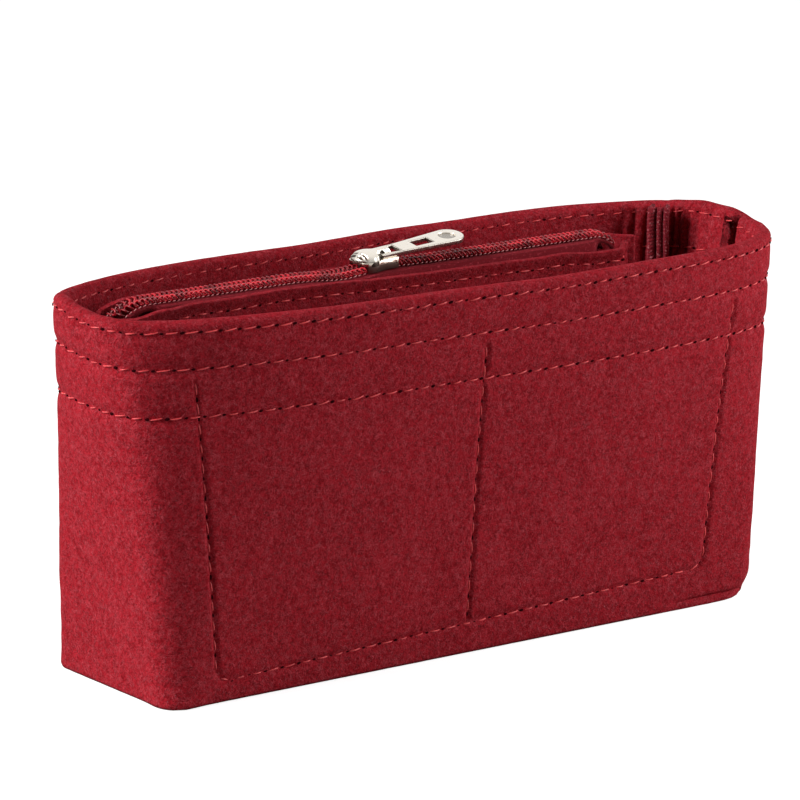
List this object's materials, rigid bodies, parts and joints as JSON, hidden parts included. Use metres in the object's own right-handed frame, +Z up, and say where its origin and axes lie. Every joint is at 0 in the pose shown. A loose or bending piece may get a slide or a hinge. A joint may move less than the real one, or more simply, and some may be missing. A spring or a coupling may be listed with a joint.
{
  "type": "purse organizer insert",
  "caption": "Open felt organizer box for the inside of a purse, with inner pockets on both long walls and a free standing zip pouch down its middle.",
  "frame": {"origin": "centre of the underside of the base panel, on the surface it stands on", "axes": "+X along the length towards the closed end of the zip, front wall towards -Y, +Z up"},
  "size_m": [0.2168, 0.0712, 0.1061],
  "materials": {
    "wall_felt": "thick needled felt, short nap",
    "base_felt": "thick needled felt, short nap",
    "lining_felt": "thinner needled felt",
    "binding_tape": "ribbed woven tape",
    "zip_tape": "fine twill tape",
    "zip_coil": "wound nylon, satin",
    "nickel": "bright nickel plate"
  },
  "bodies": {
    "felt_box": {"base_panel": "base_felt", "wall_strip": "wall_felt", "front_pocket_panel": "lining_felt", "back_pocket_panel": "lining_felt", "seam_binding": "binding_tape", "pouch_front_panel": "lining_felt", "pouch_back_panel": "lining_felt", "zip_tape_front": "zip_tape", "zip_tape_back": "zip_tape", "zip_coil_front": "zip_coil", "zip_coil_back": "zip_coil"},
    "slider": {"slider_body": "nickel", "slider_cap": "nickel"},
    "pull": {"pull_tab": "nickel"},
    "pawl": {"lock_pawl": "nickel"}
  },
  "joints": [
    {"name": "slider_run", "type": "slide", "parent": "felt_box", "child": "slider", "axis": [1, 0, 0], "range_m": [-0.065, 0.065], "deforming": ["zip_coil_front", "zip_coil_back"]},
    {"name": "pull_swing", "type": "hinge", "parent": "slider", "child": "pull", "pos_m": [-0.011, 0.003, 0.1027], "axis": [0, -1, 0], "range_deg": [-6, 128]},
    {"name": "pawl_lift", "type": "slide", "parent": "slider", "child": "pawl", "axis": [0, 0, 1], "range_m": [0, 0.0005]}
  ]
}
